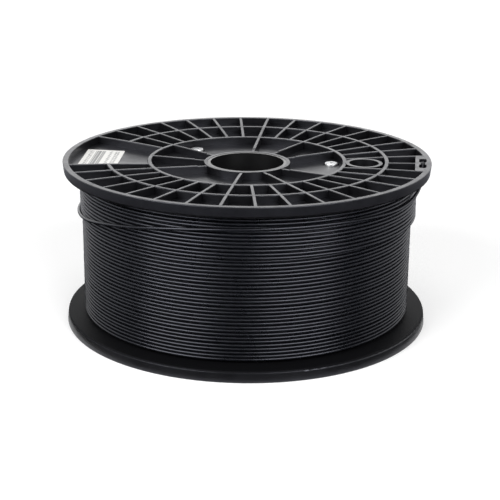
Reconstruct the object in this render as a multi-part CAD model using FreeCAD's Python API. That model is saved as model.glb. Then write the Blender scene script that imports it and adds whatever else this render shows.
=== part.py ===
"""Filament spool: two ribbed flanges screwed to a winding drum, wound full of filament.

The frame's origin is the centre of the lower face, +Z runs up the bore, in millimetres.
"""
import FreeCAD, Part
import math
import os

# ---- driving dimensions, in millimetres and degrees ------------------------------------
spool_width = 90.4             # over the outer faces of both flanges
flange_diameter = 200.0
bore_diameter = 40.1           # hole that a holder's shaft goes through

# flange moulding
flange_thickness = 6.0         # outer face of the rim to its winding face
floor_thickness = 1.8          # web between the ribs
rim_lip_width = 3.2            # flat band round the outer face
rim_draft = 0.5                # how much the rim narrows towards the winding
rim_edge_round = 1.3           # rounding of the rim's edge on the winding side
lip_edge_round = 0.4           # rounding of the rim's edge on the outer face
middle_ring_radius = 76.0
middle_ring_width = 2.1
drum_ring_width = 2.2
dish_at_middle_ring = 0.6      # how far the ribs' tops lie below the rim there
dish_at_drum = 1.6
dish_at_collar = 3.0

# ribs
rib_thickness = 1.65
rib_edge_round = 0.35
outer_rib_count = 36
inner_rib_count = 12
first_outer_rib_angle = 2.5
first_inner_rib_angle = 22.5
inner_rib_step = 0.25          # the inner ribs drop by this much close to the collar
inner_rib_step_radius = 29.0
label_bay_angle = 172.5        # centre of the wide bay that has no ribs
label_bay_ribs = 3             # how many ribs it leaves out

# winding drum and bore
drum_diameter = 108.8
drum_wall = 2.2
sleeve_wall = 1.6
collar_wall = 1.75
collar_length = 14.0           # from the collar's top towards the winding
sleeve_clearance = 0.1         # between the sleeve and each collar
sleeve_setback = 0.15          # the sleeve's ends lie this far inside the collars' ends
locating_ring_wall = 1.8
locating_ring_height = 3.0
locating_clearance = 0.15

# screws that hold each flange to the drum
screw_count = 3
screw_inset = 5.2              # from the drum's inner face to the screws' middles
first_screw_angle = 8.0
screw_head_diameter = 7.4
screw_head_height = 1.9
screw_head_round = 0.7
screw_shank_diameter = 3.0
screw_shank_length = 14.0
screw_point_length = 1.5
screw_point_diameter = 1.0
screw_hole_clearance = 0.3     # round the shank in the flange
screw_pilot_clearance = 0.02   # round the shank in the drum's boss
screw_pilot_depth = 16.0
screw_slot_width = 0.9         # cross recess
screw_slot_length = 3.6
screw_slot_depth = 1.1
head_recess_clearance = 0.7
head_recess_depth = 0.7        # the head's seat lies this far under the floor
head_recess_wall = 1.2
screw_boss_radius = 4.6
screw_boss_web = 1.6

# hole for the pin that drives the spool while it is wound
drive_hole_radius = 8.0
drive_hole_wall = 2.0
drive_hole_angle = -7.5
drive_ring_overlap = 0.7       # how far its ring runs into the ring over the drum
drive_relief_width = 0.5       # how far its edge is opened out beside the winding
drive_wall_setback = 0.1       # from the floor's highest place there to its round wall

# clip at the rim that holds the free end
clip_angle = -7.5
clip_bar_width = 2.0
clip_hole_width = 4.0
clip_hole_length = 20.0
clip_neck_width = 2.2
clip_neck_length = 3.4
clip_corner_radius = 1.8
clip_rim_bite = 0.4            # how far the hole runs into the rim's lip
clip_land_setback = 0.05       # the land round the hole lies this far under the rib's top

# label
label_length = 39.0
label_width = 21.0
label_thickness = 0.15
label_edge_gap = 0.2           # at least this far from the rim's lip
label_rim_gap = 5.3            # from the rim's lip to the label's nearest long side
label_centre_y = 9.5
label_tilt = -3.0

# filament
filament_diameter = 1.75
winding_pitch = 1.93
winding_margin = 9.9           # from the last full layer out to the flanges' edge
winding_side_clearance = 0.1   # between the winding and each flange
drum_clearance = 0.05          # between the first layer and the drum
top_layer_turns = 12           # turns of the part layer under the upper flange
layer_rise = 1.65              # radius that one more layer adds
start_hole_clearance = 0.3
start_hole_height = 5.0        # above the lower end of the drum
start_hole_angle = 100.0
start_bend_inset = 3.0         # from the drum's inner face to where the first end bends
start_inside_length = 9.0      # how long its end is past that bend
start_bend_angle = 58.0
bend_share = 0.45              # share of the shorter straight run that a bend's arc takes up
tail_clearance = 0.15          # between the loose last turn and the turns under it
tail_step = 12.0               # between the points of the loose last turn
tail_end_depth = 0.95          # the cut end lies this far under the rim's face
tail_end_reach = 5.0           # how far past the clip's neck it reaches
tail_neck_depth = 2.7          # depth of the strand in the clip's neck
tail_leave_angle = -46.0       # where the free end leaves the winding
tail_turn_steps = 15           # points before that
tail_climb_from = 0.2          # share of those points before it climbs
tail_climb_over = 0.52         # share of those points over which it climbs
tail_low_share = 0.04          # height before the climb, as a share of the part layer's
tail_high_share = 0.73         # height after it
# lift-off points: degrees before the clip, share of the way out, share of the way up
tail_lift = ((28.5, 0.03, 0.0), (19.5, 0.3, 0.04), (12.5, 0.7, 0.27), (7.5, 0.95, 0.55), (3.6, 1.0, 1.05))

# ---- sizes that follow from them ---------------------------------------------------------
flange_radius = flange_diameter / 2
bore_radius = bore_diameter / 2
drum_radius = drum_diameter / 2
drum_inner_radius = drum_radius - drum_wall
drum_ring_radius = drum_radius - drum_wall / 2
screw_circle_radius = drum_inner_radius - screw_inset
rib_height = flange_thickness - floor_thickness
rim_inner_radius = flange_radius - rim_lip_width
label_centre_x = -(rim_inner_radius - label_rim_gap - label_width / 2)
rib_end_radius = rim_inner_radius + rim_lip_width / 3
sleeve_outer_radius = bore_radius + sleeve_wall
collar_inner_radius = sleeve_outer_radius + sleeve_clearance
collar_radius = collar_inner_radius + collar_wall
screw_head_radius = screw_head_diameter / 2
screw_shank_radius = screw_shank_diameter / 2
filament_radius = filament_diameter / 2
wound_radius = flange_radius - winding_margin
last_layer_radius = wound_radius - filament_radius
inner_layers_radius = wound_radius - filament_diameter
top_layer_radius = last_layer_radius + layer_rise
drive_ring_radius = drive_hole_radius + drive_hole_wall
drive_relief_radius = drive_hole_radius + drive_relief_width
drive_hole_circle = drum_ring_radius + drum_ring_width / 2 + drive_ring_radius - drive_ring_overlap
clip_hole_centre = rim_inner_radius + clip_rim_bite - clip_hole_width / 2
clip_bar_outer = clip_hole_centre - clip_hole_width / 2
outer_rib_spacing = 360.0 / outer_rib_count
inner_rib_spacing = 360.0 / inner_rib_count
screw_spacing = 360.0 / screw_count
beyond = 4 * flange_thickness  # a cut that runs this far is clear of the flange
tiny = 1e-6
fuse_tolerance = 0.001
# turning one flange over mirrors its screws, and this turn brings them back in line
lower_flange_turn = 2 * first_screw_angle

DISH = (
    (collar_radius, dish_at_collar),
    (drum_radius, dish_at_drum),
    (middle_ring_radius, dish_at_middle_ring),
    (rim_inner_radius, 0.0),
)
Z = FreeCAD.Vector(0, 0, 1)
ORIGIN = FreeCAD.Vector(0, 0, 0)


def dish(radius):
    """Depth of the ribs' tops below the outer face at a radius: straight cones between rings."""
    if radius <= DISH[0][0]:
        return DISH[0][1]
    for (r_in, d_in), (r_out, d_out) in zip(DISH, DISH[1:]):
        if radius <= r_out:
            return d_in + (d_out - d_in) * (radius - r_in) / (r_out - r_in)
    return 0.0


def rib_top(radius):
    """Height of the ribs' tops in the flange's own frame, whose outer face is at 0."""
    return -dish(radius)


def floor_top(radius):
    """Height of the floor's outer face between the ribs."""
    return -dish(radius) - rib_height


def winding_face(radius):
    """Height of the flange's face towards the winding."""
    return -dish(radius) - flange_thickness


def floor_middle(radius):
    """Height of the middle of the floor, where whatever stands on it begins."""
    return winding_face(radius) + floor_thickness / 2


def dish_radii(r_from, r_to):
    """Radii from r_from to r_to, with every radius between them where the cone changes."""
    inside = [r for r, _ in DISH if r_from + tiny < r < r_to - tiny]
    return [r_from] + inside + [r_to]


def point(radius, height):
    """A point of a profile in the XZ plane."""
    return FreeCAD.Vector(radius, 0, height)


def polar(radius, degrees, height=0.0):
    """A point from its radius, its angle about Z and its height."""
    turn = math.radians(degrees)
    return FreeCAD.Vector(radius * math.cos(turn), radius * math.sin(turn), height)


def turned(shape, degrees):
    """A copy of the shape turned about Z."""
    copy = shape.copy()
    copy.rotate(ORIGIN, Z, degrees)
    return copy


def spun(points):
    """The solid swept by a closed polygon in the XZ plane as it turns about Z."""
    face = Part.Face(Part.makePolygon(points + [points[0]]))
    return face.revolve(ORIGIN, Z, 360)


def arc_about(centre, radius, from_degrees, to_degrees):
    """Arc in the XZ plane about a centre, angles counted from +X towards +Z."""
    def on(degrees):
        turn = math.radians(degrees)
        return centre + FreeCAD.Vector(radius * math.cos(turn), 0, radius * math.sin(turn))
    middle = (from_degrees + to_degrees) / 2
    return Part.Arc(on(from_degrees), on(middle), on(to_degrees)).toShape()


def line(a, b):
    """A straight edge."""
    return Part.makeLine(a, b)


def spun_edges(edges):
    """The solid swept by a closed loop of edges in the XZ plane as it turns about Z."""
    return Part.Face(Part.Wire(edges)).revolve(ORIGIN, Z, 360)


def rounded_ring(radius, width):
    """Ring on the flange's floor, as high as the ribs there, with rounded top edges."""
    inner, outer = radius - width / 2, radius + width / 2
    top = rib_top(radius)
    foot = floor_middle(radius)
    r = rib_edge_round
    return spun_edges([
        line(point(inner, foot), point(outer, foot)),
        line(point(outer, foot), point(outer, top - r)),
        arc_about(point(outer - r, top - r), r, 0, 90),
        line(point(outer - r, top), point(inner + r, top)),
        arc_about(point(inner + r, top - r), r, 90, 180),
        line(point(inner, top - r), point(inner, foot)),
    ])


def straight_rib(r_from, r_to, drop=0.0):
    """Rib along +X between two radii of one cone, rounded on top, as a sloping prism."""
    half = rib_thickness / 2
    r = rib_edge_round
    top = rib_top(r_from) - drop
    foot = floor_middle(r_from)

    def at(y, z):
        return FreeCAD.Vector(r_from, y, z)

    def corner(y_centre, from_degrees, to_degrees):
        def on(degrees):
            turn = math.radians(degrees)
            return at(y_centre + r * math.cos(turn), top - r + r * math.sin(turn))
        return Part.Arc(on(from_degrees), on((from_degrees + to_degrees) / 2), on(to_degrees)).toShape()

    section = Part.Face(Part.Wire([
        line(at(-half, foot), at(half, foot)),
        line(at(half, foot), at(half, top - r)),
        corner(half - r, 0, 90),
        line(at(half - r, top), at(-half + r, top)),
        corner(-half + r, 90, 180),
        line(at(-half, top - r), at(-half, foot)),
    ]))
    rise = rib_top(r_to) - rib_top(r_from)
    return section.extrude(FreeCAD.Vector(r_to - r_from, 0, rise))


def floor_and_rim():
    """Dished floor from the collar out, the rim round it and the collar round the bore."""
    r_rim = flange_radius - rim_draft
    radii = dish_radii(collar_inner_radius, rim_inner_radius)
    upper = [point(r, floor_top(r)) for r in radii if r > collar_radius + tiny]
    lower = [point(r, winding_face(r)) for r in reversed(radii) if r > collar_radius + tiny]
    collar_top = rib_top(collar_radius)
    collar_foot = collar_top - collar_length
    c = lip_edge_round
    b = rim_edge_round
    t = flange_thickness
    edges = []

    def through(points):
        edges.extend(line(a, z) for a, z in zip(points, points[1:]))

    through([
        point(collar_inner_radius, collar_foot),
        point(collar_inner_radius, collar_top),
        point(collar_radius, collar_top),
        point(collar_radius, floor_top(collar_radius)),
    ] + upper + [
        point(rim_inner_radius, -c),
    ])
    edges.append(arc_about(point(rim_inner_radius + c, -c), c, 180, 90))
    through([point(rim_inner_radius + c, 0), point(flange_radius - c, 0)])
    edges.append(arc_about(point(flange_radius - c, -c), c, 90, 0))
    through([point(flange_radius, -c), point(r_rim, -t + b)])
    edges.append(arc_about(point(r_rim - b, -t + b), b, 0, -90))
    through([point(r_rim - b, -t)] + lower + [
        point(collar_radius, winding_face(collar_radius)),
        point(collar_radius, collar_foot),
        point(collar_inner_radius, collar_foot),
    ])
    return spun_edges(edges)


def in_label_bay(degrees):
    """Whether an outer rib at this angle would stand in the label's bay."""
    away = abs((degrees - label_bay_angle + 180) % 360 - 180)
    return away < outer_rib_spacing * label_bay_ribs / 2


def near(degrees, other, tolerance):
    """Whether two angles lie within a tolerance of each other, in degrees."""
    return abs((degrees - other + 180) % 360 - 180) < tolerance


def outer_ribs():
    """Ribs from the ring over the drum to the rim, without those of the label's bay."""
    inner_part = straight_rib(drum_ring_radius, middle_ring_radius)
    outer_part = straight_rib(middle_ring_radius, rib_end_radius)
    ribs = []
    for k in range(outer_rib_count):
        angle = first_outer_rib_angle + k * outer_rib_spacing
        if in_label_bay(angle):
            continue
        ribs.append(turned(outer_part, angle))
        if not near(angle, drive_hole_angle, outer_rib_spacing / 2):
            ribs.append(turned(inner_part, angle))
    return ribs


def inner_ribs():
    """Ribs from the collar to the ring over the drum, without those of the screws' bays."""
    low_part = straight_rib((collar_inner_radius + collar_radius) / 2, inner_rib_step_radius, inner_rib_step)
    high_part = straight_rib(inner_rib_step_radius, drum_ring_radius)
    ribs = []
    for k in range(inner_rib_count):
        angle = first_inner_rib_angle + k * inner_rib_spacing
        in_screw_bay = (k + 1) % (inner_rib_count // screw_count) == 0
        if in_screw_bay:
            continue
        ribs.append(turned(low_part, angle))
        ribs.append(turned(high_part, angle))
    return ribs


def middle_ring():
    """Ring half-way out, open across the label's bay."""
    ring = rounded_ring(middle_ring_radius, middle_ring_width)
    bay = outer_rib_spacing * (label_bay_ribs + 1)
    bay_cut = Part.makeCylinder(middle_ring_radius + middle_ring_width, 2 * beyond, point(0, -beyond), Z, bay)
    bay_cut.rotate(ORIGIN, Z, label_bay_angle - bay / 2)
    return ring.cut(bay_cut)


def tube(outer, inner, z_from, z_to, centre=ORIGIN):
    """Upright tube, or a plain cylinder where inner is 0."""
    base = FreeCAD.Vector(centre.x, centre.y, z_from)
    shape = Part.makeCylinder(outer, z_to - z_from, base, Z)
    if inner > 0:
        shape = shape.cut(Part.makeCylinder(inner, z_to - z_from, base, Z))
    return shape


def screw_seat_height():
    """Height in the flange's frame of the face that a screw's head sits on."""
    return floor_top(screw_circle_radius) - head_recess_depth


def recess_foot():
    """Height in the flange's frame of the underside of a screw's recess."""
    return screw_seat_height() - floor_thickness


def screw_places():
    """Centres of the screws in the flange's frame."""
    return [polar(screw_circle_radius, first_screw_angle + k * screw_spacing) for k in range(screw_count)]


def clip_opening():
    """Eight-shaped prism of the clip's hole: two lobes along the rim joined by a narrow neck."""
    lobe_length = (clip_hole_length - clip_neck_length) / 2
    lobes = []
    for y_from in (-clip_hole_length / 2, clip_neck_length / 2):
        corner = FreeCAD.Vector(clip_hole_centre - clip_hole_width / 2, y_from, -beyond)
        box = Part.makeBox(clip_hole_width, lobe_length, 2 * beyond, corner)
        uprights = [e for e in box.Edges if abs(e.BoundBox.ZLength - 2 * beyond) < tiny]
        lobes.append(box.makeFillet(clip_corner_radius, uprights))
    neck_reach = clip_neck_length / 2 + clip_corner_radius
    neck_corner = FreeCAD.Vector(clip_hole_centre - clip_neck_width / 2, -neck_reach, -beyond)
    neck = Part.makeBox(clip_neck_width, 2 * neck_reach, 2 * beyond, neck_corner)
    return turned(neck.fuse(lobes), clip_angle)


def clip_land():
    """Solid land between two ribs at the rim, as high as the lip, that the clip's hole is cut in."""
    foot = floor_middle(rim_inner_radius)
    x_from = clip_bar_outer - clip_bar_width
    reach = flange_radius * math.sin(math.radians(outer_rib_spacing))
    top = rib_top((x_from + rim_inner_radius) / 2) - clip_land_setback
    box = Part.makeBox(flange_radius, 2 * reach, top - foot, FreeCAD.Vector(x_from, -reach, foot))
    sector = Part.makeCylinder(rib_end_radius, 2 * beyond, point(0, -beyond), Z, 2 * outer_rib_spacing)
    sector.rotate(ORIGIN, Z, -outer_rib_spacing)
    return turned(box.common(sector), clip_angle)


def make_locating_ring():
    """Ring under the flange that centres it in the drum, open at each of the drum's bosses."""
    outer = drum_inner_radius - locating_clearance
    foot = winding_face(drum_inner_radius) - locating_ring_height
    ring = tube(outer, outer - locating_ring_wall, foot, floor_middle(drum_inner_radius))
    keep_off = screw_boss_radius + 2 * locating_clearance
    return ring.cut([tube(keep_off, 0, -beyond, 0, centre) for centre in screw_places()])


def drive_wall_foot():
    """Height where the drive hole's round wall begins, clear of the dished winding on every side."""
    return winding_face(drive_hole_circle + drive_relief_radius) + drive_wall_setback


def make_flange():
    """One flange in its own frame: outer face at height 0, winding below it."""
    drum_ring = rounded_ring(drum_ring_radius, drum_ring_width)
    drive_centre = polar(drive_hole_circle, drive_hole_angle)
    drive_foot, drive_top = floor_middle(drive_hole_circle), rib_top(drive_hole_circle)
    drive_ring = tube(drive_ring_radius, 0, drive_foot, drive_top, drive_centre)
    recess_radius = screw_head_radius + head_recess_clearance
    cups = [
        tube(recess_radius + head_recess_wall, 0, recess_foot(), floor_middle(screw_circle_radius), centre)
        for centre in screw_places()
    ]
    rings = [drum_ring, middle_ring(), drive_ring, make_locating_ring(), clip_land()]
    solid = floor_and_rim().fuse(rings + cups + outer_ribs() + inner_ribs(), fuse_tolerance)
    cuts = [
        tube(drive_hole_radius, 0, -beyond, beyond, drive_centre),
        tube(drive_relief_radius, 0, -beyond, drive_wall_foot(), drive_centre),
        clip_opening(),
    ]
    for centre in screw_places():
        cuts.append(tube(recess_radius, 0, screw_seat_height(), 0, centre))
        cuts.append(tube(screw_shank_radius + screw_hole_clearance, 0, -beyond, 0, centre))
    return solid.cut(cuts).removeSplitter()


def as_upper(shape):
    """Place a shape of the flange's frame at the top of the spool."""
    placed = shape.copy()
    placed.translate(FreeCAD.Vector(0, 0, spool_width))
    return placed


def as_lower(shape):
    """Place a shape of the flange's frame turned over at the bottom of the spool."""
    placed = shape.copy()
    placed.rotate(ORIGIN, FreeCAD.Vector(1, 0, 0), 180)
    placed.rotate(ORIGIN, Z, lower_flange_turn)
    return placed


def make_drum():
    """Winding drum: a tube that seats on both flanges, with a boss for each screw inside."""
    def upper(r):
        return spool_width + winding_face(r)

    def lower(r):
        return -winding_face(r)

    wall = spun([
        point(drum_inner_radius, lower(drum_inner_radius)),
        point(drum_radius, lower(drum_radius)),
        point(drum_radius, upper(drum_radius)),
        point(drum_inner_radius, upper(drum_inner_radius)),
    ])
    z_from, z_to = -recess_foot(), spool_width + recess_foot()
    reach = drum_ring_radius - screw_circle_radius
    web_from = lower(drum_inner_radius) + locating_ring_height + locating_clearance
    web_to = upper(drum_inner_radius) - locating_ring_height - locating_clearance
    web = Part.makeBox(reach, screw_boss_web, web_to - web_from,
                       FreeCAD.Vector(screw_circle_radius, -screw_boss_web / 2, web_from))
    pieces = []
    pilots = []
    pilot_radius = screw_shank_radius + screw_pilot_clearance
    for k, centre in enumerate(screw_places()):
        pieces.append(tube(screw_boss_radius, 0, z_from, z_to, centre))
        pieces.append(turned(web, first_screw_angle + k * screw_spacing))
        pilots.append(tube(pilot_radius, 0, z_from, z_from + screw_pilot_depth, centre))
        pilots.append(tube(pilot_radius, 0, z_to - screw_pilot_depth, z_to, centre))
    hole_height = lower(drum_inner_radius) + start_hole_height
    start_hole = Part.makeCylinder(
        filament_radius + start_hole_clearance, drum_wall * 3,
        polar(drum_radius - drum_wall * 2, start_hole_angle, hole_height), polar(1, start_hole_angle))
    return wall.fuse(pieces).cut(pilots + [start_hole]).removeSplitter()


def make_sleeve():
    """Bore sleeve: the tube that the holder's shaft runs in, seated in both collars."""
    end = dish_at_collar + sleeve_setback
    return tube(sleeve_outer_radius, bore_radius, end, spool_width - end)


def make_screw():
    """Pan-head screw in the flange's frame on the Z axis, its head's seat at height 0."""
    r = screw_head_round
    head = spun_edges([
        line(point(0, 0), point(screw_head_radius, 0)),
        line(point(screw_head_radius, 0), point(screw_head_radius, screw_head_height - r)),
        arc_about(point(screw_head_radius - r, screw_head_height - r), r, 0, 90),
        line(point(screw_head_radius - r, screw_head_height), point(0, screw_head_height)),
        line(point(0, screw_head_height), point(0, 0)),
    ])
    shank_end = -screw_shank_length
    shank = spun([
        point(0, 0),
        point(screw_shank_radius, 0),
        point(screw_shank_radius, shank_end + screw_point_length),
        point(screw_point_diameter / 2, shank_end),
        point(0, shank_end),
    ])
    slot_floor = screw_head_height - screw_slot_depth
    slots = []
    for x_size, y_size in ((screw_slot_length, screw_slot_width), (screw_slot_width, screw_slot_length)):
        slots.append(Part.makeBox(x_size, y_size, screw_head_height,
                                  FreeCAD.Vector(-x_size / 2, -y_size / 2, slot_floor)))
    return head.fuse(shank).cut(slots).removeSplitter()


def make_label():
    """Paper label: a thin sheet that follows the cone of the floor in the label's bay."""
    r_from = drum_ring_radius + drum_ring_width / 2
    radii = dish_radii(r_from, rim_inner_radius - label_edge_gap)
    sheet = spun([point(r, floor_top(r)) for r in radii]
                 + [point(r, floor_top(r) + label_thickness) for r in reversed(radii)])
    stencil = Part.makeBox(label_width, label_length, 2 * beyond,
                           FreeCAD.Vector(-label_width / 2, -label_length / 2, -beyond))
    stencil.rotate(ORIGIN, Z, label_tilt)
    stencil.translate(FreeCAD.Vector(label_centre_x, label_centre_y, 0))
    return sheet.common(stencil)


def lower_side(radius):
    """Height where the winding may begin at a radius, above the lower flange."""
    return -winding_face(radius) + winding_side_clearance


def upper_side(radius):
    """Height where the winding has to end at a radius, under the upper flange."""
    return spool_width + winding_face(radius) - winding_side_clearance


def make_inner_layers():
    """All the layers under the last one, as one closed ring between the flanges."""
    radii = dish_radii(drum_radius + drum_clearance, inner_layers_radius)
    return spun([point(r, lower_side(r)) for r in radii]
                + [point(r, upper_side(r)) for r in reversed(radii)])


def ridged_layer(centre_radius, first_turn_height, turns, foot_radius):
    """Ring of turns lying side by side: a ridge for each turn, four flats round its half circle."""
    profile = [point(foot_radius, first_turn_height - filament_radius)]
    for k in range(turns):
        height = first_turn_height + k * winding_pitch
        for degrees in (-90, -45, 0, 45, 90):
            turn = math.radians(degrees)
            out, up = filament_radius * math.cos(turn), filament_radius * math.sin(turn)
            profile.append(point(centre_radius + out, height + up))
    profile.append(point(foot_radius, profile[-1].z))
    return spun(profile)


def last_layer_turns():
    """How many turns fit side by side between the flanges in the last full layer."""
    room = upper_side(wound_radius) - lower_side(wound_radius) - filament_diameter
    return int(room / winding_pitch) + 1


def first_turn_height():
    """Height of the lowest turn's centre: the turns are packed against the upper flange."""
    return upper_side(wound_radius) - filament_radius - (last_layer_turns() - 1) * winding_pitch


def make_last_layer():
    """The last full layer of turns."""
    return ridged_layer(last_layer_radius, first_turn_height(), last_layer_turns(), inner_layers_radius)


def lowest_top_turn():
    """Height of the centre of the lowest turn of the part layer."""
    return upper_side(wound_radius) - filament_radius - (top_layer_turns - 1) * winding_pitch


def make_top_layer():
    """Part layer of a few turns under the upper flange, over the last full layer."""
    return ridged_layer(top_layer_radius, lowest_top_turn(), top_layer_turns, wound_radius)


def tail_points():
    """Route of the free end: a loose last turn that climbs over the part layer to the clip.

    The first points lie round the winding a step apart, the next lift off it towards the
    clip's hole, and the last two are the clip's neck and the cut end.
    """
    low = lowest_top_turn() - winding_pitch
    climb = upper_side(wound_radius) - filament_radius - low
    on_layer = top_layer_radius + filament_diameter + tail_clearance
    points = []
    for k in range(tail_turn_steps + 1):
        angle = tail_leave_angle - (tail_turn_steps - k) * tail_step
        climbed = smooth((k / tail_turn_steps - tail_climb_from) / tail_climb_over)
        rise = climb * (tail_low_share + (tail_high_share - tail_low_share) * climbed)
        radius = on_layer / math.cos(math.radians(tail_step / 2))
        points.append(polar(radius, angle, low + rise))
    height = points[-1].z
    lift = spool_width - flange_thickness - height
    for degrees_before, outward, upward in tail_lift:
        radius = on_layer + (clip_hole_centre - on_layer) * outward
        points.append(polar(radius, clip_angle - degrees_before, height + lift * upward))
    neck = turned_point(clip_hole_centre, 0.0)
    end = turned_point(clip_hole_centre, tail_end_reach)
    points.append(FreeCAD.Vector(neck.x, neck.y, spool_width - tail_neck_depth))
    points.append(FreeCAD.Vector(end.x, end.y, spool_width - tail_end_depth))
    return points


def smooth(share):
    """Eased step from 0 to 1 as share goes from 0 to 1."""
    held = min(max(share, 0.0), 1.0)
    return held * held * (3 - 2 * held)


def turned_point(x, y):
    """A point of the clip's own frame, whose X axis runs out along the clip's angle."""
    turn = math.radians(clip_angle)
    return FreeCAD.Vector(x * math.cos(turn) - y * math.sin(turn), x * math.sin(turn) + y * math.cos(turn), 0)


def rounded_path(points):
    """Straight runs through the points with a tangent arc at each one between, and its tightest arc."""
    edges = []
    tightest = math.inf
    start = points[0]
    for before, corner, after in zip(points, points[1:], points[2:]):
        back = (before - corner).normalize()
        ahead = (after - corner).normalize()
        turn = math.pi - back.getAngle(ahead)
        setback = bend_share * min((before - corner).Length, (after - corner).Length)
        radius = setback / math.tan(turn / 2)
        tightest = min(tightest, radius)
        a = corner + back * setback
        b = corner + ahead * setback
        bisector = (back + ahead).normalize()
        to_centre = math.hypot(radius, setback)
        middle = corner + bisector * (to_centre - radius)
        edges.append(line(start, a))
        edges.append(Part.Arc(a, middle, b).toShape())
        start = b
    edges.append(line(start, points[-1]))
    return Part.Wire(edges), tightest


def strand(points):
    """Round strand of filament along a route."""
    path, tightest = rounded_path(points)
    along = (points[1] - points[0]).normalize()
    section = Part.Wire([Part.makeCircle(filament_radius, points[0], along)])
    solid = path.makePipeShell([section], True, False)
    print("strand of %.0f mm, tightest bend %.1f mm" % (path.Length, tightest))
    return solid


def make_tail():
    """Free end of the filament, clipped in the upper flange."""
    return strand(tail_points())


def make_start():
    """First end of the filament, put through the drum's wall and bent over inside it."""
    height = -winding_face(drum_inner_radius) + start_hole_height
    outside = polar(drum_radius, start_hole_angle, height)
    inside = polar(drum_inner_radius - start_bend_inset, start_hole_angle, height)
    end = inside + polar(start_inside_length, start_hole_angle + 180 - start_bend_angle)
    return strand([outside, inside, end])


def write(node, shape):
    """Write one sub-part to its STEP file."""
    shape.exportStep("parts/%s.step" % node)
    print("%-24s %d solid(s), %.0f mm3, valid %s" % (node, len(shape.Solids), shape.Volume, shape.isValid()))


def main():
    """Build every sub-part and write it."""
    os.makedirs("parts", exist_ok=True)
    flange = make_flange()
    write("upper_flange", as_upper(flange))
    write("lower_flange", as_lower(flange))
    write("winding_drum", make_drum())
    write("bore_sleeve", make_sleeve())
    screw = make_screw()
    for k, centre in enumerate(screw_places(), 1):
        placed = screw.copy()
        placed.translate(FreeCAD.Vector(centre.x, centre.y, screw_seat_height()))
        write("upper_screw_%d" % k, as_upper(placed))
        write("lower_screw_%d" % k, as_lower(placed))
    write("paper_label", as_upper(make_label()))
    write("filament_inner_layers", make_inner_layers())
    write("filament_last_layer", make_last_layer())
    write("filament_top_layer", make_top_layer())
    write("filament_tail", make_tail())
    write("filament_start", make_start())


main()
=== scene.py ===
"""Filament spool: wound turns, clipped free end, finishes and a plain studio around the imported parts."""

import logging
import math
from dataclasses import dataclass, field
from enum import Enum
from typing import Any

import bpy
import numpy as np
from mathutils import Matrix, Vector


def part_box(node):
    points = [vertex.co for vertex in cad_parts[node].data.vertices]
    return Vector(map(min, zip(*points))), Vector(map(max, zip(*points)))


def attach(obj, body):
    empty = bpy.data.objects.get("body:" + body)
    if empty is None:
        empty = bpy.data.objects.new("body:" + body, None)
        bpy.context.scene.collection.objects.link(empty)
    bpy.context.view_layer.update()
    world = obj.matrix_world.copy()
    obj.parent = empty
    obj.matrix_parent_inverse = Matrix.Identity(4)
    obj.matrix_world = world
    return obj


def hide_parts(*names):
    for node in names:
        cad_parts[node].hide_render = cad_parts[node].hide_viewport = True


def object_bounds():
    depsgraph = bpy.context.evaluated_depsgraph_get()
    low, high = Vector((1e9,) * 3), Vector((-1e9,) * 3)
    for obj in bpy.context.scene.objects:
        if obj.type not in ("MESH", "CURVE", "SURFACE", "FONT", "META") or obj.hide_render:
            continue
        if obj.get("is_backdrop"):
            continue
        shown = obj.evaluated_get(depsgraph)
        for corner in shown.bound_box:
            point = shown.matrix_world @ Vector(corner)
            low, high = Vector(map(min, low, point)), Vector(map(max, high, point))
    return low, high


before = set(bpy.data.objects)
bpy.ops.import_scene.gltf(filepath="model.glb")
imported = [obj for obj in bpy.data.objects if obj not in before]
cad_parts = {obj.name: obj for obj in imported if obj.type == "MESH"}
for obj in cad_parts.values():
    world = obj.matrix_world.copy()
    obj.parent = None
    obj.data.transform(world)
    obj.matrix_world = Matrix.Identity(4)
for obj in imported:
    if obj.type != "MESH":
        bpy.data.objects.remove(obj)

LOG = logging.getLogger("filament_spool")
MM = 0.001
Array = np.ndarray


# ---- surfaces ----------------------------------------------------------------------------

def grid_quads(rows: int, columns: int, close_rows: bool, close_columns: bool) -> Array:
    """Quads of a grid of points numbered row by row.

    Quad (i, j) joins the points (i, j), (i, j + 1), (i + 1, j + 1) and (i + 1, j), counted round
    the grid where it is closed.

    Args:
        rows: Number of rows of points.
        columns: Number of points in a row.
        close_rows: Whether the last row joins the first.
        close_columns: Whether the last column joins the first.

    Returns:
        Point numbers, four to a quad.
    """
    i = np.arange(rows if close_rows else rows - 1)[:, None]
    j = np.arange(columns if close_columns else columns - 1)[None, :]
    i_next, j_next = (i + 1) % rows, (j + 1) % columns
    corners = (i * columns + j, i * columns + j_next, i_next * columns + j_next, i_next * columns + j)
    return np.stack([np.broadcast_to(c, (i.size, j.size)) for c in corners], axis=-1).reshape(-1, 4)


def fan(ring: Array, tip: int) -> Array:
    """Triangles that close a ring of points on its tip.

    Args:
        ring: Point numbers in turning order.
        tip: Number of the point in the middle.

    Returns:
        Point numbers, three to a triangle.
    """
    return np.stack([ring, np.roll(ring, -1), np.full(ring.size, tip)], axis=-1)


def along(values: Array) -> Array:
    """Unit direction of a path at each of its points."""
    step = np.gradient(values, axis=0)
    return step / np.linalg.norm(step, axis=1, keepdims=True)


def wave_noise(rng: np.random.Generator, position: Array, periods: Array, height: float) -> Array:
    """Smooth unevenness along a path: a sum of sines with random phases, each weighted by its period.

    Args:
        rng: Source of the phases.
        position: Place along the path.
        periods: Lengths of the sines' periods, in the same unit as position.
        height: Largest value that the sum can reach.

    Returns:
        One value for each position.
    """
    phases = rng.uniform(0.0, 2 * math.pi, periods.size)
    weights = np.sqrt(periods) / np.sqrt(periods).sum()
    return height * (weights * np.sin(2 * math.pi * position[:, None] / periods + phases)).sum(axis=1)


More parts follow.
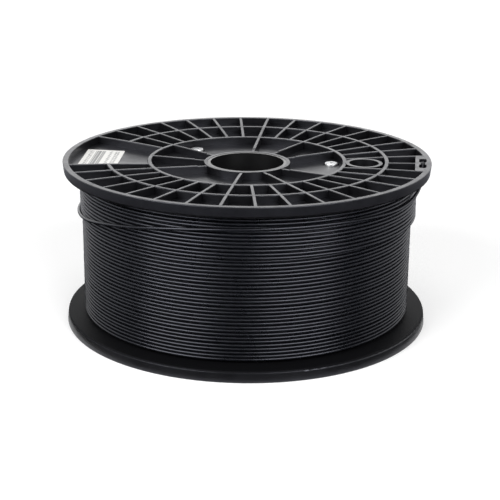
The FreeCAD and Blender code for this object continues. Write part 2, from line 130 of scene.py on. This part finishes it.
def spline(controls: Array, per_span: int) -> Array:
    """Smooth path drawn to its control points, which starts and ends on the first and last one.

    Each point is a mix of four controls in a row with the weights of a uniform cubic B-spline, after
    the first and the last control are counted three times.

    Args:
        controls: Control points or control values, one in a row.
        per_span: Number of points drawn for each control.

    Returns:
        Points of the path, one in a row.
    """
    held = np.concatenate([controls[:1]] * 2 + [controls] + [controls[-1:]] * 2)
    spans = len(held) - 3
    place = np.linspace(0.0, spans, spans * per_span + 1)
    first = np.minimum(place.astype(int), spans - 1)
    u = (place - first)[:, None]
    weights = ((1 - u) ** 3, 3 * u ** 3 - 6 * u ** 2 + 4, -3 * u ** 3 + 3 * u ** 2 + 3 * u + 1, u ** 3)
    return sum(w * held[first + k] for k, w in enumerate(weights)) / 6


def cylindrical(degrees: Array, radius: Array, height: Array) -> Array:
    """Points from their angle about the bore, their distance from it and their height."""
    turn = np.radians(degrees)
    return np.stack([radius * np.cos(turn), radius * np.sin(turn), height + 0 * turn], axis=-1)


def make_piece(name: str, points: Array, faces: list[Array], flat: int = 0) -> bpy.types.Object:
    """Puts points in millimetres and faces into a mesh object that stands at the origin.

    Args:
        name: Name of the piece.
        points: Points, one in a row.
        faces: Groups of faces as point numbers.
        flat: How many of the last groups are shaded flat.

    Returns:
        The object, linked to the scene.
    """
    mesh = bpy.data.meshes.new(name)
    mesh.from_pydata((points * MM).tolist(), [], [face for group in faces for face in group.tolist()])
    smooth = np.concatenate([np.full(len(g), k < len(faces) - flat) for k, g in enumerate(faces)])
    mesh.polygons.foreach_set("use_smooth", smooth)
    mesh.update()
    piece = bpy.data.objects.new(name, mesh)
    bpy.context.collection.objects.link(piece)
    return piece


@dataclass(frozen=True)
class Strand:
    """Round strand of filament."""

    radius: float = 0.875
    outer_sides: int = 8
    inner_sides: int = 4

    def ring(self) -> Array:
        """Angles round the section, closer together on the side that is seen."""
        outer = np.linspace(-0.5 * math.pi, 0.5 * math.pi, self.outer_sides + 1)
        inner = np.linspace(0.5 * math.pi, 1.5 * math.pi, self.inner_sides + 1)[1:-1]
        return np.concatenate([outer, inner])

    def piece(self, name: str, path: Array) -> bpy.types.Object:
        """Carries the strand's section along a path.

        P(s, a) = C(s) + r (cos a N(s) + sin a B(s)), where C is the path, N the way out from the
        bore square to the path, and B the path's direction crossed with N. Both ends are closed.

        Args:
            name: Name of the piece.
            path: Points of the middle line, one in a row.

        Returns:
            The piece.
        """
        ahead = along(path)
        out = path * (1.0, 1.0, 0.0)
        out = out - (out * ahead).sum(axis=1, keepdims=True) * ahead
        out = out / np.linalg.norm(out, axis=1, keepdims=True)
        up = np.cross(ahead, out)
        angles = self.ring()[None, :, None]
        tube = path[:, None] + self.radius * (np.cos(angles) * out[:, None] + np.sin(angles) * up[:, None])
        rows, columns = tube.shape[:2]
        points = np.concatenate([tube.reshape(-1, 3), path[:1], path[-1:]])
        first = np.arange(columns)
        last = first + (rows - 1) * columns
        ends = [fan(first[::-1], rows * columns), fan(last, rows * columns + 1)]
        return make_piece(name, points, [grid_quads(rows, columns, False, True)] + ends, flat=2)


# ---- finishes ----------------------------------------------------------------------------

def linear(hex_colour: str) -> tuple[float, float, float, float]:
    """An sRGB colour such as #1a1b1c as linear red, green, blue and alpha."""
    channels = [int(hex_colour[k:k + 2], 16) / 255 for k in (1, 3, 5)]
    mixed = [c / 12.92 if c <= 0.04045 else ((c + 0.055) / 1.055) ** 2.4 for c in channels]
    return (*mixed, 1.0)


def add_node(tree: bpy.types.NodeTree, kind: str, sockets: dict[Any, Any] | None = None,
             **settings: Any) -> bpy.types.Node:
    """Adds a node with its settings and links.

    Args:
        tree: Node tree it goes into.
        kind: Node type's identifier.
        sockets: Values by input name or number; an output socket is linked, anything else is set.
        **settings: Properties of the node.

    Returns:
        The node.
    """
    node = tree.nodes.new(kind)
    for name, value in settings.items():
        setattr(node, name, value)
    for key, value in (sockets or {}).items():
        if isinstance(value, bpy.types.NodeSocket):
            tree.links.new(value, node.inputs[key])
        else:
            node.inputs[key].default_value = value
    return node


def new_material(name: str) -> tuple[bpy.types.Material, bpy.types.NodeTree]:
    """A material with an empty node tree.

    Args:
        name: Name of the material.

    Returns:
        The material and its node tree.
    """
    material = bpy.data.materials.new(name)
    material.use_nodes = True
    material.node_tree.nodes.clear()
    return material, material.node_tree


def finish_material(tree: bpy.types.NodeTree, surface: bpy.types.NodeSocket) -> None:
    """Joins the last shader to the material's output."""
    add_node(tree, "ShaderNodeOutputMaterial", {"Surface": surface})


@dataclass(frozen=True)
class BlackPlastic:
    """Black thermoplastic with a fine grain and slightly uneven gloss.

    patch_mm is the size of the patches of uneven gloss, grain_mm that of the surface's grain and
    grain_depth_mm the grain's depth. sheen tints what the surface reflects straight on. Between the two
    heights of matt_shaded_mm and further than matt_shaded_beyond_mm from the bore's axis, on the flanges'
    faces towards the winding, the surface is rougher, and its reflection is lowered as painted shade for
    the shade that the flanges and the winding cast on those faces.
    """

    name: str
    colour: str
    sheen: str
    roughness: float
    roughness_spread: float
    ior: float
    patch_mm: float
    grain_mm: float
    grain_depth_mm: float
    # Heights and reach of the faces towards the winding, which are rougher and get painted shade.
    matt_shaded_mm: tuple[float, float] | None = None
    matt_shaded_beyond_mm: float = 54.0
    matt_roughness: float = 0.62
    # Low reflection level on those faces: painted shade.
    painted_shade_level: float = 0.1

    def build(self) -> bpy.types.Material:
        """The finish as a material on object coordinates."""
        material, tree = new_material(self.name)
        place = add_node(tree, "ShaderNodeTexCoord").outputs["Object"]
        patches = add_node(tree, "ShaderNodeTexNoise", {
            "Vector": place, "Scale": 1 / (self.patch_mm * MM), "Detail": 4.0, "Roughness": 0.6})
        gloss = add_node(tree, "ShaderNodeMapRange", {
            "Value": patches.outputs["Fac"], "From Min": 0.3, "From Max": 0.7,
            "To Min": self.roughness - self.roughness_spread,
            "To Max": self.roughness + self.roughness_spread})
        grain = add_node(tree, "ShaderNodeTexNoise", {
            "Vector": place, "Scale": 1 / (self.grain_mm * MM), "Detail": 2.0})
        bump = add_node(tree, "ShaderNodeBump", {
            "Height": grain.outputs["Fac"], "Strength": 1.0, "Distance": self.grain_depth_mm * MM})
        shader = add_node(tree, "ShaderNodeBsdfPrincipled", {
            "Base Color": linear(self.colour), "Roughness": gloss.outputs["Result"], "IOR": self.ior,
            "Specular Tint": linear(self.sheen), "Normal": bump.outputs["Normal"]})
        if self.matt_shaded_mm is None:
            finish_material(tree, shader.outputs["BSDF"])
            return material
        # Rougher shader for the faces towards the winding, its reflection lowered as painted shade.
        matt = add_node(tree, "ShaderNodeBsdfPrincipled", {
            "Base Color": linear(self.colour), "Roughness": self.matt_roughness, "IOR": self.ior,
            "Specular IOR Level": self.painted_shade_level, "Specular Tint": linear(self.sheen),
            "Normal": bump.outputs["Normal"]})
        low, high = (height * MM for height in self.matt_shaded_mm)
        height = add_node(tree, "ShaderNodeSeparateXYZ", {"Vector": place}).outputs["Z"]
        between = add_node(tree, "ShaderNodeMath", {
            0: height, 1: (low + high) / 2, 2: (high - low) / 2}, operation="COMPARE")
        level = add_node(tree, "ShaderNodeVectorMath", {0: place, 1: (1.0, 1.0, 0.0)}, operation="MULTIPLY")
        away = add_node(tree, "ShaderNodeVectorMath", {0: level.outputs["Vector"]}, operation="LENGTH")
        outside = add_node(tree, "ShaderNodeMath", {
            0: away.outputs["Value"], 1: self.matt_shaded_beyond_mm * MM}, operation="GREATER_THAN")
        # Mask of the faces that get the painted shade.
        matt_shaded_faces = add_node(tree, "ShaderNodeMath", {
            0: between.outputs["Value"], 1: outside.outputs["Value"]}, operation="MULTIPLY")
        mixed = add_node(tree, "ShaderNodeMixShader", {
            "Fac": matt_shaded_faces.outputs["Value"], 1: shader.outputs["BSDF"], 2: matt.outputs["BSDF"]})
        finish_material(tree, mixed.outputs["Shader"])
        return material


@dataclass(frozen=True)
class ZincPlate:
    """Bright zinc plating on a steel screw: a pale, slightly blue metal with faint tumbling marks."""

    name: str = "bright_zinc_plate"
    colour: str = "#eeeff0"
    roughness: float = 0.4
    roughness_below: float = 0.06
    roughness_above: float = 0.1
    mark_mm: float = 0.5

    def build(self) -> bpy.types.Material:
        """The finish as a material on object coordinates."""
        material, tree = new_material(self.name)
        place = add_node(tree, "ShaderNodeTexCoord").outputs["Object"]
        marks = add_node(tree, "ShaderNodeTexNoise", {
            "Vector": place, "Scale": 1 / (self.mark_mm * MM), "Detail": 3.0})
        gloss = add_node(tree, "ShaderNodeMapRange", {
            "Value": marks.outputs["Fac"], "From Min": 0.3, "From Max": 0.7,
            "To Min": self.roughness - self.roughness_below,
            "To Max": self.roughness + self.roughness_above})
        shader = add_node(tree, "ShaderNodeBsdfPrincipled", {
            "Base Color": linear(self.colour), "Metallic": 1.0, "Roughness": gloss.outputs["Result"]})
        finish_material(tree, shader.outputs["BSDF"])
        return material


@dataclass(frozen=True)
class PrintedPaper:
    """White label paper with faint grey printed blocks and no words: matt, with thin grey ink."""

    name: str = "printed_label_paper"
    colour: str = "#e0dfdc"
    ink: str = "#8a8a8a"
    roughness: float = 0.6
    centre: tuple[float, float] = (-81.0, 9.5)
    tilt: float = -3.0
    bar_mm: float = 1.1
    print_length_mm: tuple[float, float] = (-17.0, 17.0)
    bar_block_mm: tuple[float, float] = (-5.2, 0.6)
    row_columns_mm: tuple[tuple[float, float], ...] = ((-8.5, -6.3), (2.6, 4.4), (5.7, 8.3))
    row_mm: float = 1.7
    row_gap_mm: float = 0.35
    word_mm: float = 2.8

    def build(self) -> bpy.types.Material:
        """The finish as a material; its bars and rows are laid out on the label's own middle."""
        material, tree = new_material(self.name)
        place = add_node(tree, "ShaderNodeTexCoord").outputs["Object"]
        turn = math.radians(-self.tilt)
        x, y = self.centre[0] * MM, self.centre[1] * MM
        moved = (-x * math.cos(turn) + y * math.sin(turn), -x * math.sin(turn) - y * math.cos(turn), 0.0)
        laid = add_node(tree, "ShaderNodeMapping", {
            "Vector": place, "Location": moved, "Rotation": (0.0, 0.0, turn)})
        bars = add_node(tree, "ShaderNodeTexNoise", {
            "Vector": add_node(tree, "ShaderNodeMapping", {
                "Vector": laid.outputs["Vector"], "Scale": (1.0, 0.0, 0.0)}).outputs["Vector"],
            "Scale": 1 / (self.bar_mm * MM), "Detail": 1.0})
        rows = add_node(tree, "ShaderNodeTexBrick", {
            "Vector": laid.outputs["Vector"], "Scale": 1.0,
            "Color1": (0, 0, 0, 1), "Color2": (0.35, 0.35, 0.35, 1), "Mortar": (1, 1, 1, 1),
            "Mortar Size": self.row_gap_mm * MM, "Mortar Smooth": 0.2,
            "Brick Width": self.word_mm * MM, "Row Height": self.row_mm * MM})
        across = add_node(tree, "ShaderNodeSeparateXYZ", {"Vector": laid.outputs["Vector"]}).outputs
        bar_ink = self.window(tree, across, self.bar_block_mm, self.print_length_mm)
        columns = [self.window(tree, across, column, self.print_length_mm) for column in self.row_columns_mm]
        row_ink = columns[0]
        for column in columns[1:]:
            added = add_node(tree, "ShaderNodeMath", {0: row_ink, 1: column}, operation="ADD")
            row_ink = added.outputs["Value"]
        bar_mask = add_node(tree, "ShaderNodeMapRange", {
            "Value": bars.outputs["Fac"], "From Min": 0.4, "From Max": 0.52}).outputs["Result"]
        row_mask = add_node(tree, "ShaderNodeMapRange", {
            "Value": rows.outputs["Color"], "From Min": 0.7, "From Max": 0.1}).outputs["Result"]
        both = add_node(tree, "ShaderNodeMath", {
            0: self.times(tree, bar_ink, bar_mask), 1: self.times(tree, row_ink, row_mask)}, operation="ADD")
        ink = add_node(tree, "ShaderNodeMix", {
            "Factor": both.outputs["Value"], 6: linear(self.colour), 7: linear(self.ink)}, data_type="RGBA")
        shader = add_node(tree, "ShaderNodeBsdfPrincipled", {
            "Base Color": ink.outputs[2], "Roughness": self.roughness, "IOR": 1.45})
        finish_material(tree, shader.outputs["BSDF"])
        return material

    @staticmethod
    def times(tree: bpy.types.NodeTree, one: bpy.types.NodeSocket,
              other: bpy.types.NodeSocket) -> bpy.types.NodeSocket:
        """Product of two values."""
        return add_node(tree, "ShaderNodeMath", {0: one, 1: other}, operation="MULTIPLY").outputs["Value"]

    def window(self, tree: bpy.types.NodeTree, place: Any, x_mm: tuple[float, float],
               y_mm: tuple[float, float]) -> bpy.types.NodeSocket:
        """A mask that is 1 inside a rectangle of the label.

        Args:
            tree: Node tree of the label.
            place: Outputs X and Y, in metres from the label's middle.
            x_mm: Left and right edge.
            y_mm: Near and far edge.

        Returns:
            The mask's socket.
        """
        masks = []
        for axis, (low, high) in (("X", x_mm), ("Y", y_mm)):
            away = add_node(tree, "ShaderNodeMath", {
                0: place[axis], 1: (low + high) / 2 * MM, 2: (high - low) / 2 * MM}, operation="COMPARE")
            masks.append(away.outputs["Value"])
        return self.times(tree, masks[0], masks[1])


class Finish(Enum):
    """The spool's finishes."""

    # Injection-moulded black polystyrene: satin, with a fine spark-eroded grain that softens highlights.
    FLANGE = BlackPlastic(
        "moulded_black_polystyrene", "#070708", "#eff1ff", 0.36, 0.05, 1.55, 9.0, 0.35, 0.006,
        # Between these heights the faces towards the winding get painted shade: a lowered reflection.
        matt_shaded_mm=(5.2, 84.6))
    # Extruded black polystyrene tube: smoother than the mouldings, with fainter unevenness.
    SLEEVE = BlackPlastic(
        "extruded_black_polystyrene", "#0b0b0c", "#ffffff", 0.32, 0.04, 1.55, 12.0, 0.5, 0.004)
    # Extruded black ABS filament: a cool black with a soft sheen that runs along each turn.
    FILAMENT = BlackPlastic(
        "extruded_black_abs_filament", "#07080b", "#eef0ff", 0.3, 0.05, 1.52, 6.0, 0.6, 0.004)
    ZINC = ZincPlate()
    PAPER = PrintedPaper()


class Finishes:
    """Builds each finish once."""

    def __init__(self) -> None:
        """Starts with no finish built."""
        self.built: dict[Finish, bpy.types.Material] = {}

    def put(self, piece: bpy.types.Object, finish: Finish) -> None:
        """Gives a piece one finish all over.

        Args:
            piece: CAD node or new piece.
            finish: The finish.
        """
        if finish not in self.built:
            self.built[finish] = finish.value.build()
        if piece.data.materials:
            for slot in piece.material_slots:
                slot.material = self.built[finish]
        else:
            piece.data.materials.append(self.built[finish])


# ---- the spool ---------------------------------------------------------------------------

@dataclass(frozen=True)
class Mouldings:
    """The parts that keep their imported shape: flanges, drum, sleeve, screws, label and first end."""

    finishes: dict[str, Finish] = field(default_factory=lambda: {
        "upper_flange": Finish.FLANGE,
        "lower_flange": Finish.FLANGE,
        "winding_drum": Finish.FLANGE,
        "bore_sleeve": Finish.SLEEVE,
        "paper_label": Finish.PAPER,
        "filament_start": Finish.FILAMENT,
        **{f"{side}_screw_{k}": Finish.ZINC for side in ("upper", "lower") for k in (1, 2, 3)},
    })

    def build(self, finishes: Finishes) -> None:
        """Dresses each part.

        Args:
            finishes: The built finishes.
        """
        for node, finish in self.finishes.items():
            finishes.put(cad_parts[node], finish)
            LOG.info("dressed %s with %s", node, finish.value.name)


@dataclass(frozen=True)
class WoundLayer:
    """One layer of turns, laid side by side as a helix, in millimetres, degrees and turns.

    lean is how much further from the bore the turns lie towards +X than at the middle; wander and
    stray are the most that a turn strays up or down and in or out.
    """

    name: str
    replaces: tuple[str, ...]
    turns: float
    start_angle: float
    start_height: float
    climb: float
    radius: float
    lean: float
    wander: float
    stray: float
    seed: int
    points_a_turn: int = 160

    def path(self) -> Array:
        """Middle line of the strand.

        The angle grows evenly, the height by climb a turn, and the radius is a circle's shifted by
        lean towards +X; both stray by a smooth noise along the strand.
        """
        rng = np.random.default_rng(self.seed)
        turn = np.linspace(0.0, self.turns, int(self.turns * self.points_a_turn))
        degrees = self.start_angle + 360.0 * turn
        periods = np.array([0.31, 0.47, 0.83, 1.37, 2.6])
        height = self.start_height + self.climb * turn + wave_noise(rng, turn, periods, self.wander)
        radius = self.radius + self.lean * np.cos(np.radians(degrees))
        return cylindrical(degrees, radius + wave_noise(rng, turn, periods, self.stray), height)

    def build(self, strand: Strand, finishes: Finishes) -> bpy.types.Object:
        """Makes the layer as one long strand and dresses it.

        Args:
            strand: The filament's section.
            finishes: The built finishes.

        Returns:
            The piece.
        """
        piece = strand.piece(self.name, self.path())
        finishes.put(piece, Finish.FILAMENT)
        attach(piece, "root")
        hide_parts(*self.replaces)
        LOG.info("wound %s: %.1f turns", self.name, self.turns)
        return piece


@dataclass(frozen=True)
class InnerLayers:
    """The full layers under the last one, as one ring whose surface is ridged as its turns are.

    dish is how much the ring's faces sink from its outer radius to the drum, in millimetres.
    """

    node: str = "filament_inner_layers"
    layers: int = 21
    turns: int = 40
    ridge_depth: float = 0.45
    points_a_ridge: int = 4
    segments: int = 192
    drum_clearance: float = 0.1
    dish: float = 1.25

    def profile(self) -> Array:
        """Closed outline in radius and height: four runs between the corners, each waved inwards.

        Along each run the outline lies inside the straight line by ridge_depth times one minus the
        size of a sine, so that each turn is a ridge.
        """
        low, high = (np.array(corner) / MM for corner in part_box(self.node))
        outer, inner = high[0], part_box("winding_drum")[1][0] / MM + self.drum_clearance
        sides = self.sides(inner, outer, low[2], high[2])
        runs = []
        for (start, end, inward), ridges in zip(sides, (self.layers, self.turns, self.layers, 1)):
            place = np.arange(ridges * self.points_a_ridge) / (ridges * self.points_a_ridge)
            wave = 1 - np.abs(np.sin(math.pi * place * ridges)) if ridges > 1 else 0 * place
            line = start + (end - start) * place[:, None]
            runs.append(line + self.ridge_depth * wave[:, None] * inward)
        return np.concatenate(runs)

    def sides(self, inner: float, outer: float, low: float, high: float) -> list[tuple[Array, Array, Array]]:
        """Corners and inward directions of the outline's runs, counter-clockwise.

        Args:
            inner: Radius at the drum.
            outer: Radius under the last layer.
            low: Lowest height, at the outer radius.
            high: Highest height, at the outer radius.

        Returns:
            Start, end and inward direction of each run, in radius and height.
        """
        corners = [np.array(c) for c in (
            (inner, low + self.dish), (outer, low), (outer, high), (inner, high - self.dish))]
        inward = [np.array(d) for d in ((0.0, 1.0), (-1.0, 0.0), (0.0, -1.0), (1.0, 0.0))]
        return [(a, b, d) for a, b, d in zip(corners, corners[1:] + corners[:1], inward)]

    def build(self, finishes: Finishes) -> bpy.types.Object:
        """Spins the outline about the bore and dresses it.

        P(t, s) = (r(s) cos t, r(s) sin t, z(s)).

        Args:
            finishes: The built finishes.

        Returns:
            The piece.
        """
        outline = self.profile()
        angle = 360.0 * np.arange(self.segments) / self.segments
        points = cylindrical(angle[:, None], outline[None, :, 0], outline[None, :, 1])
        quads = grid_quads(self.segments, len(outline), True, True)[:, ::-1]
        piece = make_piece("winding_inner_layers", points.reshape(-1, 3), [quads])
        finishes.put(piece, Finish.FILAMENT)
        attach(piece, "root")
        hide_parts(self.node)
        return piece


@dataclass(frozen=True)
class FreeEnd:
    """Last loose turn: it climbs over the part layer, leaves it and ends in the rim's clip.

    Each row of the route is an angle in degrees, the distance from the bore and the height in
    millimetres. The first rows follow on from the part layer.
    """

    route: tuple[tuple[float, float, float], ...] = (
        (134.0, 90.6, 61.0), (146.0, 90.9, 60.9), (158.0, 91.4, 61.1), (170.0, 91.8, 61.6),
        (180.0, 92.0, 62.2), (188.0, 92.0, 62.9), (197.0, 92.1, 63.8), (206.0, 92.2, 65.4),
        (215.0, 92.3, 67.9), (225.0, 92.4, 70.4), (232.0, 92.5, 71.8), (241.0, 92.5, 74.2),
        (255.0, 92.6, 76.4), (270.0, 92.7, 77.4), (285.0, 92.8, 77.6), (300.0, 92.9, 77.5),
        (312.0, 93.1, 76.6), (320.0, 93.3, 76.0), (328.0, 93.6, 76.0), (334.0, 94.0, 76.6),
        (339.0, 94.4, 78.0), (343.5, 94.9, 79.8), (347.0, 95.1, 82.2), (349.8, 95.2, 85.2),
        (352.3, 95.2, 87.9), (354.2, 95.25, 89.0), (355.3, 95.3, 89.4),
    )

    points_a_span: int = 14

    def build(self, strand: Strand, finishes: Finishes) -> bpy.types.Object:
        """Makes the strand along the smoothed route and dresses it.

        Args:
            strand: The filament's section.
            finishes: The built finishes.

        Returns:
            The piece.
        """
        drawn = spline(np.array(self.route), self.points_a_span)
        piece = strand.piece("free_end", cylindrical(drawn[:, 0], drawn[:, 1], drawn[:, 2]))
        finishes.put(piece, Finish.FILAMENT)
        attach(piece, "root")
        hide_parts("filament_tail")
        LOG.info("laid the free end over %.0f degrees", self.route[-1][0] - self.route[0][0])
        return piece


@dataclass(frozen=True)
class Winding:
    """All the filament that is seen: inner layers, last full layer, part layer and free end."""

    strand: Strand = Strand()
    inner: InnerLayers = InnerLayers()
    last: WoundLayer = WoundLayer(
        "winding_last_layer", ("filament_last_layer",), turns=39.4, start_angle=134.0, start_height=7.3,
        climb=1.93, radius=89.4, lean=0.0, wander=0.16, stray=0.1, seed=11)
    part: WoundLayer = WoundLayer(
        "winding_part_layer", ("filament_top_layer",), turns=11.6, start_angle=278.0, start_height=83.3,
        climb=-1.93, radius=91.05, lean=0.7, wander=0.16, stray=0.12, seed=5)
    free_end: FreeEnd = FreeEnd()

    def build(self, finishes: Finishes) -> None:
        """Builds every layer, from the drum outwards.

        Args:
            finishes: The built finishes.
        """
        self.inner.build(finishes)
        self.last.build(self.strand, finishes)
        self.part.build(self.strand, finishes)
        self.free_end.build(self.strand, finishes)


# ---- studio ------------------------------------------------------------------------------

@dataclass(frozen=True)
class Softbox:
    """Rectangular lamp that faces the spool's middle.

    bearing is its direction from the spool, counted from +X towards +Y, and rise its height angle.
    """

    name: str
    bearing: float
    rise: float
    distance: float
    width: float
    height: float
    power: float

    def build(self, target: tuple[float, float, float]) -> None:
        """Places the lamp.

        Args:
            target: Point that it faces, in metres.
        """
        data = bpy.data.lights.new(self.name, "AREA")
        data.shape = "RECTANGLE"
        data.size, data.size_y = self.width, self.height
        data.energy = self.power
        lamp = bpy.data.objects.new(self.name, data)
        a, e = math.radians(self.bearing), math.radians(self.rise)
        out = np.array((math.cos(a) * math.cos(e), math.sin(a) * math.cos(e), math.sin(e)))
        side = np.array((-math.sin(a), math.cos(a), 0.0))
        lamp.matrix_world = placed(side, np.cross(out, side), out, np.array(target) + self.distance * out)
        bpy.context.collection.objects.link(lamp)


def placed(x_axis: Array, y_axis: Array, z_axis: Array, origin: Array) -> Matrix:
    """Placement from its three axes and its origin."""
    rows = np.eye(4)
    rows[:3] = np.stack([x_axis, y_axis, z_axis, origin], axis=1)
    return Matrix(rows.tolist())


@dataclass(frozen=True)
class Flag:
    """Cards round the spool, seen only in reflections: black under it and in front, pale further off.

    They keep the black plastic dark between the lamps' highlights.
    """

    bearing: tuple[float, float] = (-176.0, -4.0)
    near: float = 0.103
    far: float = 0.33
    reach: float = 2.4
    rise: float = 1.8
    lift: float = 0.0005
    colour: str = "#0c0c0c"
    far_colour: str = "#dcdde6"
    segments: int = 72

    def build(self) -> None:
        """Makes the cards: P(t, s) = (r(s) cos t, r(s) sin t, z(s)) with t all round or in front."""
        round_about = (0.0, 360.0)
        near = ((self.near, self.lift), (self.far, self.lift))
        far = ((self.far, self.lift), (self.reach, self.lift))
        upright = ((self.reach, self.lift), (self.reach, self.rise))
        for name, outline, bearing, colour in (
                ("near_floor_flag", near, round_about, self.colour),
                ("far_floor_flag", far, round_about, self.far_colour),
                ("front_flag", upright, self.bearing, self.colour)):
            material, tree = new_material(f"{name}_card")
            matt = add_node(tree, "ShaderNodeBsdfDiffuse", {"Color": linear(colour)})
            finish_material(tree, matt.outputs["BSDF"])
            card = self.card(name, np.array(outline), np.linspace(*bearing, self.segments))
            card.data.materials.append(material)
            card.visible_camera = card.visible_diffuse = False
            card.visible_shadow = card.visible_transmission = False
            card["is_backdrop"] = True

    def card(self, name: str, outline: Array, angle: Array) -> bpy.types.Object:
        """Carries a line about the bore.

        Args:
            name: Name of the card.
            outline: Radius and height of the line's ends, in metres.
            angle: Angles that it is carried through, in degrees.

        Returns:
            The card.
        """
        points = cylindrical(angle[:, None], outline[None, :, 0], outline[None, :, 1]).reshape(-1, 3)
        return make_piece(name, points / MM, [grid_quads(self.segments, 2, False, False)])


@dataclass(frozen=True)
class Studio:
    """White floor and background, soft lamps and the camera."""

    floor_reach: float = 12.0
    floor_colour: str = "#e8e8e8"
    near_glow: float = 0.24
    far_glow: float = 1.0
    glow_radii: tuple[float, float] = (0.45, 1.6)
    fill: float = 0.3
    high_glow: float = 0.2
    camera_distance: float = 0.713
    camera_rise: float = 17.6
    camera_roll: float = 0.46
    lens: float = 92.16
    shift_x: float = 0.0069
    shift_y: float = -0.030
    lamps: tuple[Softbox, ...] = (
        Softbox("left_softbox", -139.0, 28.0, 1.3, 1.0, 0.8, 15.5),
        Softbox("right_softbox", -54.0, 28.0, 1.3, 1.1, 0.8, 15.5),
        Softbox("top_softbox", 90.0, 80.0, 1.5, 1.2, 1.2, 6.0),
        Softbox("back_softbox", 90.0, 17.0, 1.6, 1.6, 0.5, 3.0),
    )
    flag: Flag = Flag()

    def build(self, middle_height: float) -> None:
        """Builds the floor, the world, the lamps and the camera.

        Args:
            middle_height: Height of the spool's middle, in metres.
        """
        self.make_floor()
        self.make_world()
        self.flag.build()
        for lamp in self.lamps:
            lamp.build((0.0, 0.0, middle_height))
        self.make_camera(middle_height)
        bpy.context.scene.view_settings.view_transform = "Standard"

    @staticmethod
    def seen_directly(tree: bpy.types.NodeTree) -> bpy.types.NodeSocket:
        """Mask that is 1 for what the camera, a reflection or glass shows."""
        path = add_node(tree, "ShaderNodeLightPath").outputs
        one = add_node(tree, "ShaderNodeMath", {
            0: path["Is Camera Ray"], 1: path["Is Glossy Ray"]}, operation="MAXIMUM").outputs["Value"]
        return add_node(tree, "ShaderNodeMath", {
            0: one, 1: path["Is Transmission Ray"]}, operation="MAXIMUM").outputs["Value"]

    def make_floor(self) -> None:
        """Wide white floor: it glows little near the spool, which keeps a soft shadow, and more far off."""
        r = self.floor_reach
        mesh = bpy.data.meshes.new("studio_floor")
        mesh.from_pydata([(-r, -r, 0), (r, -r, 0), (r, r, 0), (-r, r, 0)], [], [(0, 1, 2, 3)])
        floor = bpy.data.objects.new("studio_floor", mesh)
        bpy.context.collection.objects.link(floor)
        material, tree = new_material("white_paper_sweep")
        matt = add_node(tree, "ShaderNodeBsdfDiffuse", {"Color": linear(self.floor_colour)})
        away = add_node(tree, "ShaderNodeVectorMath", {
            0: add_node(tree, "ShaderNodeTexCoord").outputs["Object"]}, operation="LENGTH")
        rising = add_node(tree, "ShaderNodeMapRange", {
            "Value": away.outputs["Value"], "From Min": self.glow_radii[0], "From Max": self.glow_radii[1],
            "To Min": self.near_glow, "To Max": self.far_glow})
        glow = add_node(tree, "ShaderNodeMath", {
            0: self.seen_directly(tree), 1: rising.outputs["Result"]}, operation="MULTIPLY")
        white = add_node(tree, "ShaderNodeEmission", {
            "Color": (1.0, 1.0, 1.0, 1.0), "Strength": glow.outputs["Value"]})
        added = add_node(tree, "ShaderNodeAddShader", {0: matt.outputs["BSDF"], 1: white.outputs["Emission"]})
        finish_material(tree, added.outputs["Shader"])
        mesh.materials.append(material)
        floor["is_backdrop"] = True

    def make_world(self) -> None:
        """White surroundings, dimmer where they only fill the shadows."""
        world = bpy.data.worlds.new("white_studio")
        world.use_nodes = True
        tree = world.node_tree
        tree.nodes.clear()
        fill = add_node(tree, "ShaderNodeBackground", {"Color": (1.0, 1.0, 1.0, 1.0), "Strength": self.fill})
        way = add_node(tree, "ShaderNodeTexCoord").outputs["Generated"]
        height = add_node(tree, "ShaderNodeSeparateXYZ", {"Vector": way}).outputs["Z"]
        glow = add_node(tree, "ShaderNodeMapRange", {
            "Value": height, "From Min": 0.45, "From Max": 0.7, "To Min": 1.0, "To Max": self.high_glow})
        white = add_node(tree, "ShaderNodeBackground", {
            "Color": (1.0, 1.0, 1.0, 1.0), "Strength": glow.outputs["Result"]})
        mixed = add_node(tree, "ShaderNodeMixShader", {
            "Fac": self.seen_directly(tree), 1: fill.outputs["Background"], 2: white.outputs["Background"]})
        add_node(tree, "ShaderNodeOutputWorld", {"Surface": mixed.outputs["Shader"]})
        bpy.context.scene.world = world

    def make_camera(self, middle_height: float) -> None:
        """Camera in front of the spool, looking down at its middle.

        Args:
            middle_height: Height of the spool's middle, in metres.
        """
        data = bpy.data.cameras.new("studio_camera")
        data.lens = self.lens
        data.sensor_width = 36.0
        data.shift_x, data.shift_y = self.shift_x, self.shift_y
        camera = bpy.data.objects.new("studio_camera", data)
        rise, roll = math.radians(self.camera_rise), math.radians(self.camera_roll)
        back = np.array((0.0, -math.cos(rise), math.sin(rise)))
        level = np.array((1.0, 0.0, 0.0))
        upright = np.cross(back, level)
        right = math.cos(roll) * level + math.sin(roll) * upright
        middle = np.array((0.0, 0.0, middle_height))
        camera.matrix_world = placed(right, np.cross(back, right), back, middle + self.camera_distance * back)
        bpy.context.collection.objects.link(camera)
        bpy.context.scene.camera = camera


def main() -> None:
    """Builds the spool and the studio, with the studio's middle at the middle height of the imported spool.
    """
    logging.basicConfig(level=logging.INFO, format="%(name)s: %(message)s")
    packed_low, packed_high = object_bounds()
    finishes = Finishes()
    Mouldings().build(finishes)
    Winding().build(finishes)
    Studio().build((packed_low.z + packed_high.z) / 2)


if __name__ == "__main__":
    main()
